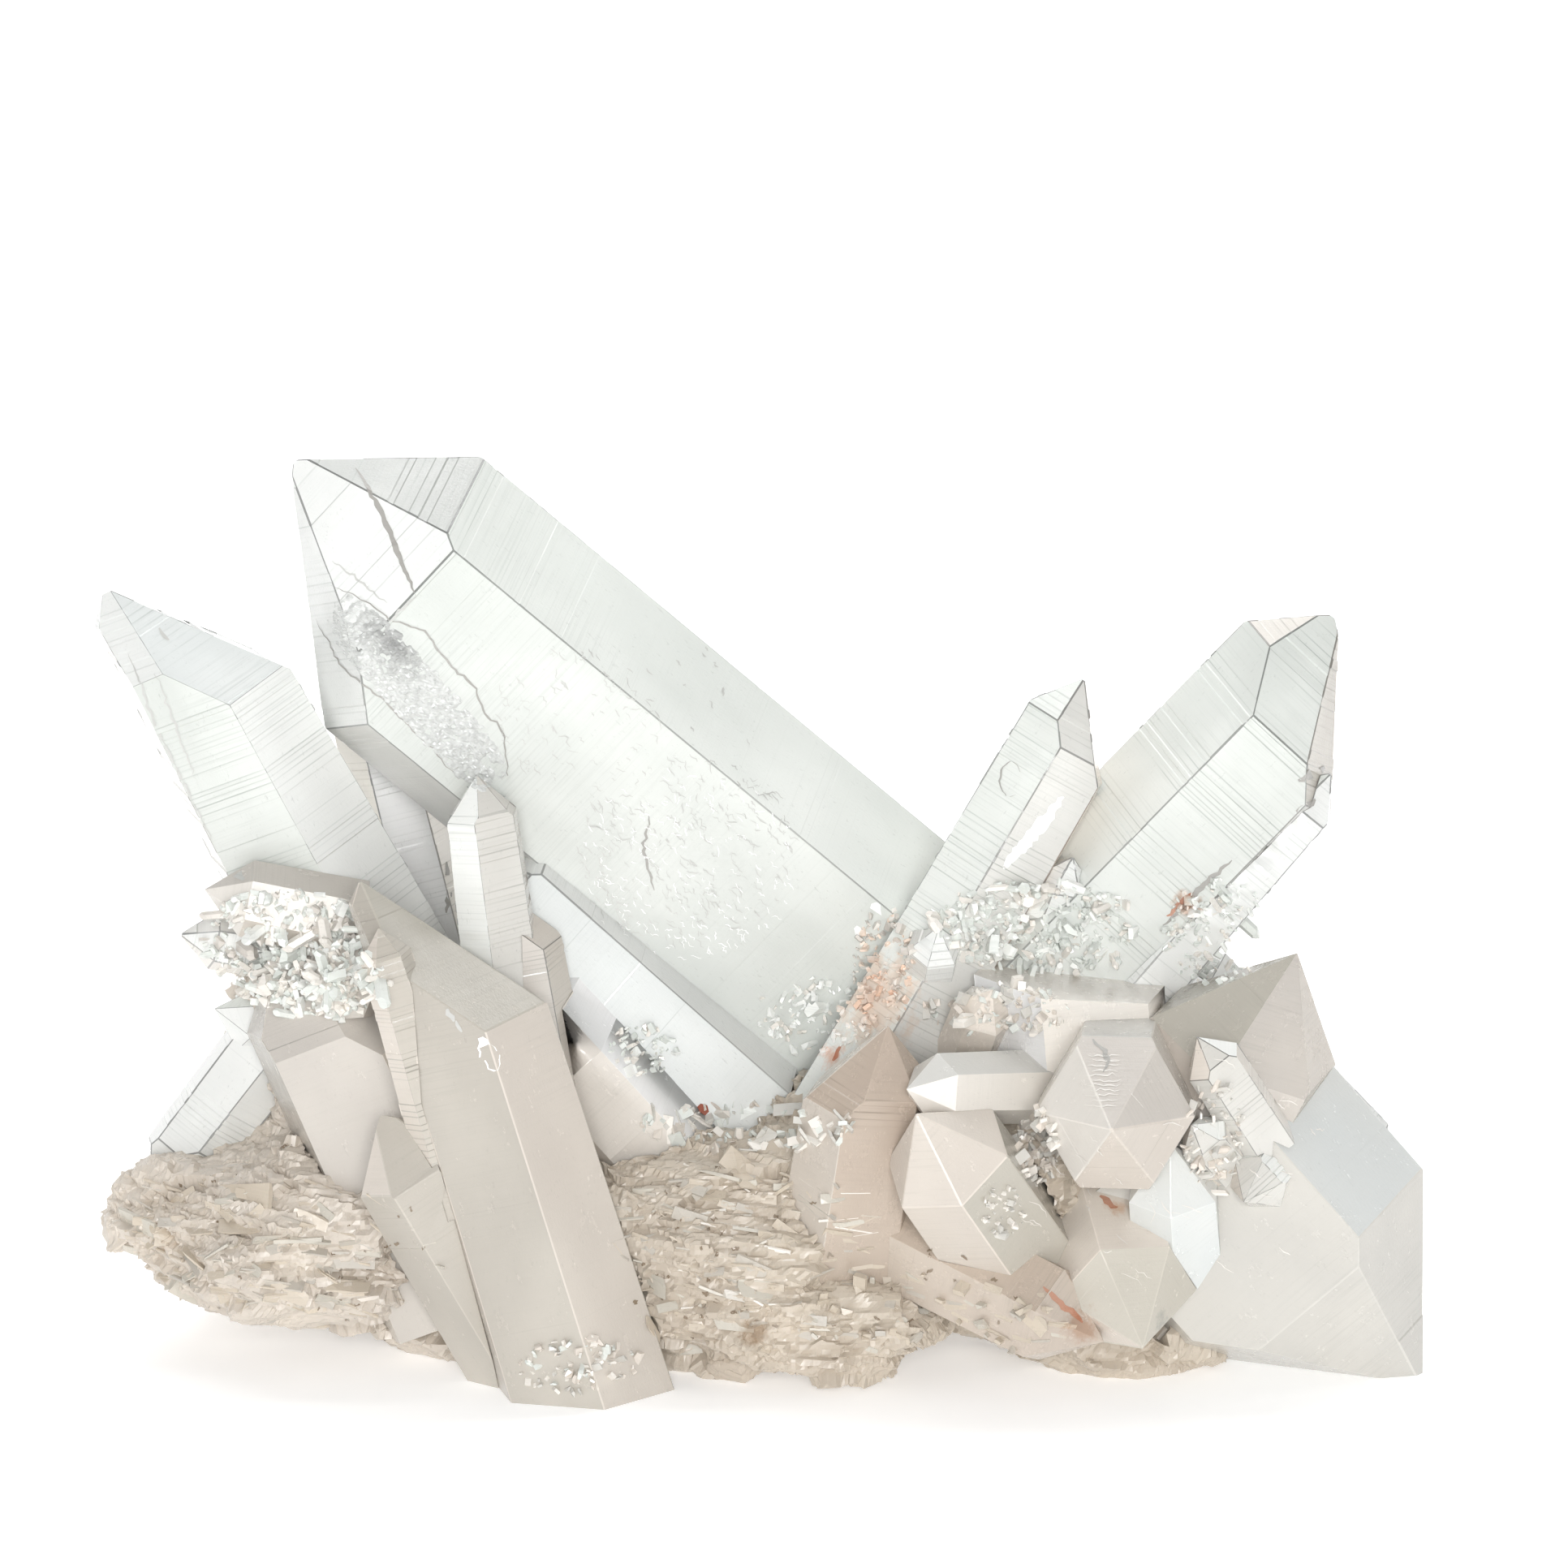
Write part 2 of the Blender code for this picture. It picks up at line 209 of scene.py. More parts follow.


# %% [markdown]
# ## The tone of each facet
# One crystal shows a different tone on each facet. Part of that is the stone's own tint and
# milkiness, and part is painted light and shade: each facet's tone also holds how bright or dark
# that facet looks under the light, so it follows the way the facet faces. The lists name the
# facets by the way they look, such as "right up", and give each a tone. A facet takes the tone
# whose direction lies nearest to its own. Some crystals also get painted light or painted shade
# as a
# whole: lighter where they sit in shade, darker where they are well lit. Crystals without a list
# of their own use a plain one, which paints light and shade by direction in the same way.

# %% Tones, and where each one goes
TONES = {  # red, green, blue as seen, then how much light passes
    "white": (0.975, 0.98, 0.97, 0.22),
    "pearl": (0.875, 0.89, 0.87, 0.2),
    "silver": (0.80, 0.81, 0.795, 0.25),
    "mist": (0.81, 0.80, 0.775, 0.06),
    "frost": (0.965, 0.97, 0.955, 0.1),
    "green_grey": (0.96, 0.975, 0.955, 0.25),
    "blue_grey": (0.92, 0.935, 0.93, 0.2),
    "grey": (0.90, 0.895, 0.875, 0.25),
    "cream": (0.925, 0.905, 0.875, 0.1),
    "beige": (0.86, 0.825, 0.785, 0.06),
    "pink_beige": (0.83, 0.805, 0.775, 0.06),
    "brown": (0.845, 0.81, 0.765, 0.08),
    "amber": (0.79, 0.725, 0.665, 0.06),
    "smoke": (0.775, 0.755, 0.71, 0.08),
    "olive": (0.745, 0.72, 0.68, 0.04),
    "rust": (0.96, 0.88, 0.815, 0.1),
    "earth": (0.78, 0.735, 0.67, 0.0),
    "dark_brown": (0.81, 0.76, 0.71, 0.05),
}
WAYS = {
    "left": Vector((-1, 0, 0)),
    "right": Vector((1, 0, 0)),
    "front": Vector((0, -1, 0)),
    "back": Vector((0, 1, 0)),
    "up": Vector((0, 0, 1)),
    "down": Vector((0, 0, -1)),
}
# Tones by facet direction: the stone's own tints together with painted light and shade.
FACET_TONES_AND_PAINTED_LIGHT = {
    "main": {"front": "pearl", "left front": "white", "right up": "green_grey",
             "left down": "grey", "left": "white", "up": "silver", "back": "green_grey"},
    "companion": {"front": "blue_grey", "left down": "white", "right up": "white",
                  "back": "blue_grey", "left": "cream"},
    "right_tall": {"front": "pearl", "left up": "green_grey", "right down": "grey",
                   "right": "olive", "up": "cream", "back": "green_grey"},
    "right_inner": {"front": "grey", "left front up": "green_grey", "right": "rust",
                    "up": "pink_beige", "back": "green_grey"},
    "right_outer": {"front": "white", "up": "green_grey", "back": "grey"},
    "left_tall": {"front": "pearl", "front up": "blue_grey", "right front up": "white",
                  "left front up": "white", "left down": "cream", "up": "silver",
                  "back": "green_grey"},
    "behind_left": {"front": "white", "right": "cream", "left": "cream", "up": "cream"},
    "front_blade": {"right front": "mist", "left front": "frost", "right": "pink_beige",
                    "back": "beige"},
    "front_second": {"front": "pink_beige", "right": "brown", "left": "pink_beige",
                     "up": "beige"},
    "under_companion": {"right up": "white", "front": "pink_beige", "left": "beige"},
    "front_left": {"front": "olive", "right front": "beige", "right up": "smoke",
                   "left": "beige", "back": "beige"},
    "front_slim": {"front": "olive", "left": "beige"},
    "left_broad": {"front": "pink_beige", "right": "beige", "left": "pink_beige",
                   "up": "pink_beige"},
    "front_small": {"front": "olive", "left": "beige", "front up": "olive", "right": "olive"},
    "low_left": {"front": "white", "left": "white", "up": "white"},
    "amber": {"front": "amber", "left": "beige", "right": "amber", "up": "beige"},
    "pale_front": {"right front": "smoke", "left down": "beige", "front up": "beige",
                   "right": "smoke"},
    "pale_upper": {"front": "cream", "up": "grey"},
    "centre_front": {"front up": "pink_beige", "left": "cream", "right": "pink_beige",
                     "front down": "beige", "up": "grey"},
    "block": {"front": "cream", "left": "white", "up": "cream", "right": "cream"},
    "right_smoky": {"front": "pink_beige", "front up": "smoke", "right down": "brown",
                    "left": "beige"},
    "low_right": {"front": "mist", "front up": "blue_grey", "up": "frost", "right": "mist",
                  "left": "mist", "down": "mist"},
    "striated_upper": {"front": "mist", "up": "frost", "left": "beige", "right": "cream"},
    "striated_lower": {"front": "mist", "up": "frost", "left": "beige", "right": "cream"},
    "striated_right": {"front": "mist", "up": "frost", "left": "beige", "right": "cream"},
    "behind_right": {"front": "white", "up": "white", "left": "white"},
    "low_centre": {"up": "beige", "front": "smoke", "left": "beige"},
    "low_upright": {"front": "blue_grey", "up": "white"},
    "low_point": {"front": "dark_brown", "up": "amber", "left": "dark_brown"},
    "knob_left": {"front": "cream", "up": "pink_beige", "down": "beige"},
    "knob_front": {"front": "cream", "up": "pink_beige", "right": "beige"},
    "knob_outer": {"front": "white", "up": "grey", "down": "cream"},
    "stub_right": {"front": "beige", "up": "cream"},
}
# Painted light and shade for whole crystals: above 1 lifts crystals that sit in shade, below 1
# darkens well lit ones.
CRYSTAL_PAINTED_LIGHT_AND_SHADE = {  # below 1 the whole crystal is darker than its tones, above 1 lighter
    "front_left": 0.93, "left_broad": 0.94, "front_small": 0.96, "amber": 0.92,
    "pale_front": 0.97, "centre_front": 0.945, "right_smoky": 0.93, "low_right": 0.97,
    "low_centre": 1.03, "low_point": 0.95, "under_companion": 1.07, "behind_left": 1.06,
    "knob_left": 0.96, "knob_front": 0.95, "block": 1.04, "front_second": 0.97,
    "back_low_right": 1.05, "stub_right": 1.04,
}
# The plain lists also paint light and shade by the way each facet faces.
PLAIN_TONES_AND_PAINTED_LIGHT = {
    "clear_quartz": {"front": "white", "up": "green_grey", "left": "grey", "right": "white"},
    "milky_quartz": {"front": "cream", "up": "grey", "left": "beige", "right": "cream"},
    "stained_quartz": {"front": "beige", "up": "amber", "left": "brown", "right": "beige"},
}


BRIGHTEST = 0.985


def seen_as_light(value):
    """Turns a tone as the eye sees it into the share of light that comes back."""
    return value**2.2


def way(words):
    total = Vector()
    for word in words.split():
        total += WAYS[word]
    return total.normalized()


def facet_tone_and_painted_light(normal, choices, shade=1.0):
    words = max(choices, key=lambda item: way(item).dot(normal))
    *seen, clear = TONES[choices[words]]
    return [seen_as_light(min(value * shade, BRIGHTEST)) for value in seen] + [clear]


# %% [markdown]
# ## One crystal from one solid
# Each solid is grown by a hair so that neighbours touch as intergrown crystals do. Its sharp
# edges are worn to a narrow flat, and the flat is coloured as a thin line of painted light: a
# painted dark edge line on clear crystals and a painted pale edge highlight on milky ones. Some
# values are stored with the shape for the surface to use later: the facet's tone with its painted
# light and shade, the growth lines, the distance from the root, and the place in the crystal's
# own directions.

# %% Make every crystal
GROW = 0.17 * MM
GROW_LIMIT = 0.4 * MM
WORN = 0.085 * MM
SHARP_ANGLE = math.radians(18)
SHORTEST_EDGE = 0.6 * MM
FACET_CHANGE = 0.012
# Painted light on the worn flats: dark lines on clear crystals, pale highlights on milky and
# stained ones.
EDGE_PAINTED_LIGHT = {"clear_quartz": 0.36, "milky_quartz": 1.1, "stained_quartz": 1.06}
# How often lines come in bundles, the usual gap in millimetres, and where they fade out
LINES = {
    "main": (0.75, 2.2, 0.6), "right_tall": (0.8, 2.5, 0.0), "right_inner": (0.8, 2.5, 0.0),
    "left_tall": (0.75, 2.5, 0.0), "front_slim": (0.9, 1.5, 0.0), "companion": (0.2, 5.0, 0.0),
    "clear_quartz": (0.5, 2.8, 0.0), "milky_quartz": (0.05, 9.0, 0.4),
    "stained_quartz": (0.05, 9.0, 0.4),
}


def new_piece(name, mesh, slot):
    piece = bpy.data.objects.new(name, mesh)
    bpy.context.scene.collection.objects.link(piece)
    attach(piece, "root")
    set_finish(piece, slot)
    return piece


def store(piece, name, kind, domain, values):
    layer = piece.data.attributes.new(name, kind, domain)
    field = {"FLOAT": "value", "FLOAT_VECTOR": "vector", "FLOAT_COLOR": "color"}[kind]
    layer.data.foreach_set(field, np.asarray(values, np.float32).ravel())


def store_looks(piece, from_root, places, lines, tones):
    """Stores what the surface needs: the first two for every point, the others for every face."""
    store(piece, "from_root", "FLOAT", "POINT", from_root)
    store(piece, "place", "FLOAT_VECTOR", "POINT", places)
    store(piece, "line", "FLOAT", "FACE", lines)
    store(piece, "tone", "FLOAT_COLOR", "FACE", tones)


def points_and_normals(mesh):
    points = np.zeros(len(mesh.vertices) * 3)
    normals = np.zeros(len(mesh.vertices) * 3)
    mesh.vertices.foreach_get("co", points)
    mesh.vertices.foreach_get("normal", normals)
    return points.reshape(-1, 3), normals.reshape(-1, 3)


def own_places(points, axis):
    """Places in millimetres, measured across and along the crystal."""
    side = Vector(axis).orthogonal().normalized()
    turned = np.array([side, Vector(axis).cross(side), axis])
    return points @ turned.T / MM


def crystal_piece(solid, seed):
    slot = slot_of[solid.name]
    short = solid.name.replace("crystal_", "")
    rng = np.random.default_rng(seed)
    bm = flat_faces(solid.data)
    axis = long_axis(bm)
    push_faces(bm, lambda face: GROW, GROW_LIMIT)
    facet_layer = bm.faces.layers.int.new("facet")
    bm.faces.layers.float.new("line")
    tones = []
    for face in bm.faces:
        face[facet_layer] = len(tones)
        tone = facet_tone_and_painted_light(face.normal, FACET_TONES_AND_PAINTED_LIGHT.get(short, PLAIN_TONES_AND_PAINTED_LIGHT[slot]), CRYSTAL_PAINTED_LIGHT_AND_SHADE.get(short, 1.0))
        change = rng.normal(1.0, FACET_CHANGE)
        tones.append([value * change for value in tone[:3]] + [tone[3]])
    sharp = [
        edge
        for edge in bm.edges
        if len(edge.link_faces) == 2
        and edge.calc_face_angle(0.0) > SHARP_ANGLE
        and edge.calc_length() > SHORTEST_EDGE
    ]
    worn = bmesh.ops.bevel(
        bm, geom=sharp, offset=WORN, segments=1, affect="EDGES", clamp_overlap=True
    )
    for face in worn["faces"]:
        face[facet_layer] = -1 - max(face[facet_layer], 0)
    bm.normal_update()
    root, length = add_growth_lines(bm, axis, rng, *LINES.get(short, LINES[slot]))
    bmesh.ops.triangulate(bm, faces=[face for face in bm.faces if len(face.verts) > 4])
    line_layer = bm.faces.layers.float["line"]
    lines = [face[line_layer] for face in bm.faces]
    colours = []
    for face in bm.faces:
        facet = face[facet_layer]
        tone = tones[facet if facet >= 0 else -1 - facet]
        # worn flats take the painted edge light, facets keep their tone
        edge_paint = 1.0 if facet >= 0 else EDGE_PAINTED_LIGHT[slot]
        colours.append([value * edge_paint for value in tone[:3]] + [tone[3]])
    mesh = bpy.data.meshes.new(short)
    bm.to_mesh(mesh)
    bm.free()
    piece = new_piece(short + "_crystal", mesh, slot)
    points = points_and_normals(mesh)[0]
    from_root = (points @ np.array(axis) - root) / length
    store_looks(piece, from_root, own_places(points, axis), lines, colours)
    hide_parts(solid.name)
    return piece


crystals = {}
for seed, (name, solid) in enumerate(sorted(frame["nodes"].items())):
    if name.startswith("crystal_"):
        crystals[name] = crystal_piece(solid, seed)
face_count = sum(len(piece.data.polygons) for piece in crystals.values())
print(len(crystals), "crystals with", face_count, "faces")

# %% [markdown]
# ## The broken mass
# The base is quartz that split along many thin, nearly level layers. Remeshing gives its surface
# an even grain, then every point is moved with the splinter it belongs to. A splinter is the
# group of points nearest to one seed; each one is lifted and tilted its own way, so steps appear
# between them. Flat, stretched groups make the layered, woody look of the base.

# %% Layers and splinters on the mass
GRAIN = 0.36 * MM
FOOT = 2.0 * MM
LEFT_REACH = 30 * MM
SEEDS_PER_CELL = 0.9
LIFT_SHARE, TILT_SHARE, MOST = 0.8, 0.7, 1.6
LAYER_LEAN = Matrix.Rotation(math.radians(9), 3, "Y")
# The third tone is painted shade for the low places between splinters.
MASS_TONES = [  # high up on the left, high up elsewhere, and in the low places
    (0.81, 0.775, 0.735),
    (0.745, 0.70, 0.64),
    (0.74, 0.69, 0.63),
]


def splinters(points, rng, size, stretch, height):
    """How far each point moves when it belongs to a tilted splinter of about this size."""
    scaled = points @ np.array(LAYER_LEAN) / np.array(stretch)
    low, high = scaled.min(0), scaled.max(0)
    count = int(np.prod((high - low) / size + 1) * SEEDS_PER_CELL)
    seeds = rng.uniform(low, high, (count, 3))
    tree = kdtree.KDTree(count)
    for index, seed in enumerate(seeds):
        tree.insert(seed, index)
    tree.balance()
    tilt = rng.normal(0.0, 1.0, (count, 3))
    lift = rng.uniform(-1.0, 1.0, count)
    nearest = np.array([tree.find(point)[1] for point in scaled])
    offset = scaled - seeds[nearest]
    slope = np.einsum("ij,ij->i", offset, tilt[nearest]) / size
    return height * np.clip(LIFT_SHARE * lift[nearest] + TILT_SHARE * slope, -MOST, MOST)


mass_bm = flat_faces(frame["nodes"]["quartz_mass"].data)
push_faces(mass_bm, lambda face: GROW, GROW_LIMIT)
bmesh.ops.triangulate(mass_bm, faces=mass_bm.faces[:])
mass_mesh = bpy.data.meshes.new("broken_mass")
mass_bm.to_mesh(mass_mesh)
mass_bm.free()
mass = new_piece("broken_mass", mass_mesh, "broken_mass")
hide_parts("quartz_mass")
grain = mass.modifiers.new("grain", "REMESH")
grain.mode = "VOXEL"
grain.voxel_size = GRAIN
bpy.context.view_layer.update()
graph = bpy.context.evaluated_depsgraph_get()
mass.data = bpy.data.meshes.new_from_object(mass.evaluated_get(graph))
mass.modifiers.clear()
points, normals = points_and_normals(mass.data)
rng = np.random.default_rng(7)
wide = splinters(points, rng, 4.6 * MM, (1.6, 1.2, 0.7), 0.75 * MM)
layered = splinters(points, rng, 1.6 * MM, (4.0, 2.2, 0.36), 0.30 * MM)
fine = splinters(points, rng, 0.8 * MM, (2.6, 1.6, 0.5), 0.17 * MM)
lowest = points[:, 2].min()
above_foot = np.clip((points[:, 2] - lowest) / FOOT, 0.0, 1.0)
points += normals * ((wide + layered + fine) * (0.3 + 0.7 * above_foot))[:, None]
points[:, 2] = np.maximum(points[:, 2], lowest)
mass.data.vertices.foreach_set("co", points.ravel())
mass.data.update()
first_corner = [polygon.vertices[0] for polygon in mass.data.polygons]
# Points pushed in sit in recesses; there the low tone paints shade over the mass.
recess_shade = np.clip(0.35 - (wide + layered)[first_corner] / MM, 0, 1)[:, None]
leftness = np.clip(-points[first_corner, 0] / LEFT_REACH, 0, 1)[:, None]
high_left, high_middle, low_painted_shade = (
    np.array([seen_as_light(value) for value in seen] + [0.05]) for seen in MASS_TONES
)
mass_tones = high_middle + (high_left - high_middle) * leftness
mass_tones += (low_painted_shade - mass_tones) * recess_shade * (0.9 - 0.4 * leftness)
store_looks(mass, np.zeros(len(points)), points @ np.array(LAYER_LEAN) / MM,
            np.zeros(len(mass.data.polygons)), mass_tones)
print("broken mass:", len(points), "points")

# %% [markdown]
# ## Finding the surface
# Small things stand on what is seen, so they need to know where the stone's surface is. All
# pieces made so far are joined into one search tree. A straight line goes from the eye through a
# point of the upright plane in the middle of the stone, and the tree tells where it first meets
# the stone and which way the surface looks there.

# %% A line of sight that finds the stone
EYE_AIM = Vector((2.18, -1.25, 46.5)) * MM
EYE_TILT = math.radians(10)
EYE_AWAY = 0.4
LOOKING = Vector((0, math.cos(EYE_TILT), -math.sin(EYE_TILT)))
EYE = EYE_AIM - LOOKING * EYE_AWAY
search = bmesh.new()
for piece in list(crystals.values()) + [mass]:
    search.from_mesh(piece.data)
surface = BVHTree.FromBMesh(search)
search.free()


def surface_at(x, z, behind=False):
    """Where the line of sight through (x, z) millimetres meets the stone, and its direction."""
    eye = Vector((EYE.x, -EYE.y, EYE.z)) if behind else EYE
    heading = (Vector((x * MM, EYE_AIM.y, z * MM)) - eye).normalized()
    place, normal, _, _ = surface.ray_cast(eye, heading)
    if place is None:
        return None
    if normal.dot(heading) > 0:
        normal = -normal
    return place, normal


# %% [markdown]
# ## A crust of tiny points
# Where large crystals leave the mass, quartz also grows as hundreds of tiny crystals, and broken
# splinters and thin slabs stay behind. A few patterns of each are made once. Copies then stand
# on the stone, each turned and sized by chance, and every patch of them is one piece.


# %% Patterns for points, splinters and slabs
def cut_off(bm, place, outward):
    """Cuts everything beyond the plane away and closes the cut."""
    found = bmesh.ops.bisect_plane(
        bm,
        geom=bm.verts[:] + bm.edges[:] + bm.faces[:],
        plane_co=place,
        plane_no=outward,
        clear_outer=True,
    )
    rim = [item for item in found["geom_cut"] if isinstance(item, bmesh.types.BMEdge)]
    if rim:
        bmesh.ops.contextual_create(bm, geom=rim)


def as_lists(bm):
    bm.verts.index_update()
    corners = np.array([vert.co for vert in bm.verts])
    polygons = [[vert.index for vert in face.verts] for face in bm.faces]
    bm.free()
    return corners, polygons


def point_pattern(length, shift):
    """A small six-sided point one unit wide, standing on its root."""
    bm = bmesh.new()
    bmesh.ops.create_cone(
        bm, cap_ends=True, segments=6, radius1=0.5, radius2=0.46, depth=length
    )
    bmesh.ops.translate(bm, vec=(0, 0, length / 2), verts=bm.verts[:])
    for side in range(6):
        turn = side * math.tau / 6 + math.pi / 6
        level = Vector((math.cos(turn), math.sin(turn), 0))
        outward = level * math.cos(END_LEAN) + UP * END_SINE
        cut_off(bm, UP * (length - shift * (side == 1)), outward)
    return as_lists(bm)


def broken_pattern(rng, size, cuts):
    """A block with its corners struck off: a chip, or a thin slab."""
    bm = bmesh.new()
    bmesh.ops.create_cube(bm, size=1.0)
    for _ in range(cuts):
        outward = Vector(rng.normal(0, 1, 3)).normalized()
        cut_off(bm, outward * rng.uniform(0.42, 0.6), outward)
    bmesh.ops.scale(bm, vec=size, verts=bm.verts[:])
    bmesh.ops.translate(bm, vec=(0, 0, size[2] * 0.5), verts=bm.verts[:])
    return as_lists(bm)


chance = np.random.default_rng(21)
tiny_points = [point_pattern(n, c) for n, c in ((1.5, 0.0), (2.2, 0.25), (3.0, 0.4))]
chips = [broken_pattern(chance, (1.0, 0.5, 1.5), 5) for _ in range(5)]
slabs = [broken_pattern(chance, (3.4, 1.3, 0.3), 4) for _ in range(5)]
needles = [broken_pattern(chance, (4.5, 0.35, 0.3), 3) for _ in range(3)]
print(len(tiny_points + chips + slabs + needles), "patterns to copy")


# %% Patches of the crust
LAYERS_RUN = Vector((1, 0, -0.12))
RUN_SPREAD, ROLL_SPREAD = 0.22, 0.35
SIZE_SPREAD, GRAIN_CHANGE = 0.4, 0.035
SUNK = 0.3


def lie_down(normal, rng):
    """Turns a piece flat on the surface, its length roughly along the layers of the base."""
    level = LAYERS_RUN + Vector(rng.normal(0, RUN_SPREAD, 3))
    across = normal.cross(level).normalized()
    level = across.cross(normal).normalized()
    turned = Matrix((level, across, normal)).transposed()
    return turned @ Matrix.Rotation(rng.normal(0, ROLL_SPREAD), 3, "X")


def stand_up(normal, rng, lean):
    """Turns a piece to point out of the surface, give or take its lean."""
    outward = normal + Vector(rng.normal(0, lean, 3))
    turned = outward.to_track_quat("Z", "Y").to_matrix()
    return turned @ Matrix.Rotation(rng.uniform(0, math.tau), 3, "Z")


def chance_place(rng, middle, reach):
    """A place inside an ellipse, as likely in one part of it as in another."""
    turn, far = rng.uniform(0, math.tau), math.sqrt(rng.random())
    x = middle[0] + reach[0] * far * math.cos(turn)
    z = middle[1] + reach[1] * far * math.sin(turn)
    return x, z


def add_patch(name, patterns, tones, slot, middle, reach, count, size, lean=0.5, lying=False,
              behind=False):
    """Sets copies of the patterns on the stone inside an ellipse given by width and height."""
    rng = np.random.default_rng(sum(map(ord, name)))
    verts, faces, heights, colours, first = [], [], [], [], 0
    for _ in range(count):
        x, z = chance_place(rng, middle, reach)
        found = surface_at(x, z, behind)
        if not found:
            continue
        place, normal = found
        turned = lie_down(normal, rng) if lying else stand_up(normal, rng, lean)
        scale = size * MM * rng.lognormal(0.0, SIZE_SPREAD)
        corners, polygons = patterns[rng.integers(len(patterns))]
        sunk = place - normal * scale * SUNK
        verts.append(corners @ (np.array(turned).T * scale) + np.array(sunk))
        faces += [[first + corner for corner in polygon] for polygon in polygons]
        heights.append(corners[:, 2] / corners[:, 2].max())
        first += len(corners)
        seen = TONES[tones[rng.integers(len(tones))]][:3]
        for _ in polygons:
            change = rng.normal(1.0, GRAIN_CHANGE)
            colours.append([seen_as_light(value) * change for value in seen] + [0.0])
    mesh = bpy.data.meshes.new(name)
    mesh.from_pydata(np.concatenate(verts).tolist(), [], faces)
    piece = new_piece(name, mesh, slot)
    store_looks(piece, np.concatenate(heights), np.concatenate(verts) / MM,
                np.zeros(len(faces)), colours)
    return piece


CLEAR = ["pearl", "frost", "pearl", "cream"]
MILKY = ["beige", "mist", "cream", "pearl"]
EARTHY = ["earth", "smoke", "olive", "earth"]
crusts = [
    add_patch("crust_between_right", tiny_points + chips, CLEAR, "clear_quartz", (23, 34.5),
              (8.5, 4), 420, 0.42, lean=0.4),
    add_patch("crust_beside_right_tall", tiny_points + chips, CLEAR, "clear_quartz",
              (38, 34), (4.5, 4.5), 190, 0.36, lean=0.4),
    add_patch("crust_left_shoulder", chips + tiny_points, CLEAR + ["pink_beige"],
              "clear_quartz", (-39, 33), (6.5, 5), 300, 0.45, lean=0.4),
    add_patch("crust_at_main_root", chips, ["white", "cream", "frost"], "clear_quartz",
              (5, 27), (5, 3), 110, 0.4),
    add_patch("crust_centre_top", chips + slabs, MILKY, "milky_quartz", (-1, 17.5), (9, 2.2),
              110, 0.45),
    add_patch("crust_right_corner", tiny_points + chips, ["mist", "beige", "cream"],
              "milky_quartz", (38, 17), (2.5, 5), 80, 0.35),
    add_patch("crust_right_block", chips, MILKY, "milky_quartz", (20, 27.5), (6, 2), 90, 0.4),
    add_patch("crust_front_foot", chips, MILKY, "milky_quartz", (-15, -3), (5, 2.5), 90, 0.4),
    add_patch("crust_left_gap", chips + tiny_points, CLEAR + ["cream"], "clear_quartz",
              (-36.5, 30), (6, 3.2), 260, 0.5, lean=0.4),
    add_patch("crust_under_companion", chips, CLEAR + ["cream"], "clear_quartz",
              (-9.5, 24), (3, 2.2), 70, 0.34, lean=0.3),
    add_patch("crust_pink", chips, ["rust", "cream", "pink_beige"], "clear_quartz",
              (10.5, 31), (2.6, 5), 150, 0.36, lean=0.3),
    add_patch("crust_right_gap", chips, ["mist", "cream", "beige"], "milky_quartz",
              (23.3, 15.8), (1.8, 3.2), 120, 0.45, lean=0.4),
    add_patch("crust_pale_front", chips, ["mist", "mist", "cream"], "clear_quartz",
              (20.4, 10.4), (1.8, 2.2), 60, 0.26, lean=0.25),
    add_patch("slabs_low_left", slabs, EARTHY, "broken_mass", (-44, 6), (12, 6), 110, 0.55,
              lying=True),
    add_patch("needles_low_left", needles, EARTHY, "broken_mass", (-40, 8), (14, 8), 70, 0.4,
              lying=True),
    add_patch("slabs_centre", slabs, EARTHY, "broken_mass", (-2, 6), (12, 8), 90, 0.5,
              lying=True),
    add_patch("needles_centre", needles, EARTHY + ["cream"], "broken_mass", (-1, 8), (11, 7),
              80, 0.42, lying=True),
    add_patch("slabs_low_middle", slabs + chips, EARTHY, "broken_mass", (14, 1), (12, 4), 70,
              0.45, lying=True),
    add_patch("crust_behind_left", tiny_points + chips, MILKY, "milky_quartz", (-25, 15),
              (24, 14), 300, 1.2, behind=True),
    add_patch("crust_behind_right", tiny_points + chips, MILKY, "milky_quartz", (22, 15),
              (24, 14), 300, 1.2, behind=True),
]
print(len(crusts), "patches of crust")

# %% [markdown]
# ## The etched hollow
# Near its tip the longest crystal has a rough, sparkling hollow, where the face was eaten away. A
# fine sheet stands for it: its middle is crinkled and lies just above the crystal's face, and its
# rim dives under the face. The sheet carries painted shade: its rim and its upper end are painted
# darker than the middle.

# %% A crinkled sheet on the longest crystal
HOLLOW_START, HOLLOW_END = Vector((-35.4, 62.6)), Vector((-20.4, 45.4))
HOLLOW_WIDTH = 5.6
HOLLOW_STEPS = (150, 60)
HOLLOW_LIFT, HOLLOW_CRINKLE, RIM_DEPTH = 0.12, 0.22, 0.3
# The last two are painted shade: at the hollow's upper end and along its rim.
HOLLOW_TONE, SPECKLE_CHANGE, END_PAINTED_SHADE, RIM_PAINTED_SHADE = 0.885, 0.08, 0.27, 0.22


def hollow_tone(s, t, place):
    """Tone at s along and t across the hollow, with painted shade at the rim and near the upper
    end.
    """
    # painted shade near the upper end and along the rim
    dark = max(0.0, 1 - abs(s - 0.30) / 0.16) * max(0.0, 1 - abs(t - 0.72) / 0.4)
    rim = max(0.0, abs(2 * t - 1) - 0.84) * 5 + max(0.0, abs(2 * s - 1) - 0.93) * 9
    speckle = noise.noise(Vector(place) / MM * 3.0)
    seen = HOLLOW_TONE + SPECKLE_CHANGE * speckle - END_PAINTED_SHADE * dark - RIM_PAINTED_SHADE * min(rim, 1.0)
    bright = seen_as_light(min(max(seen, 0.6), 0.99))
    return [bright * 0.985, bright, bright * 0.975, 0.2]


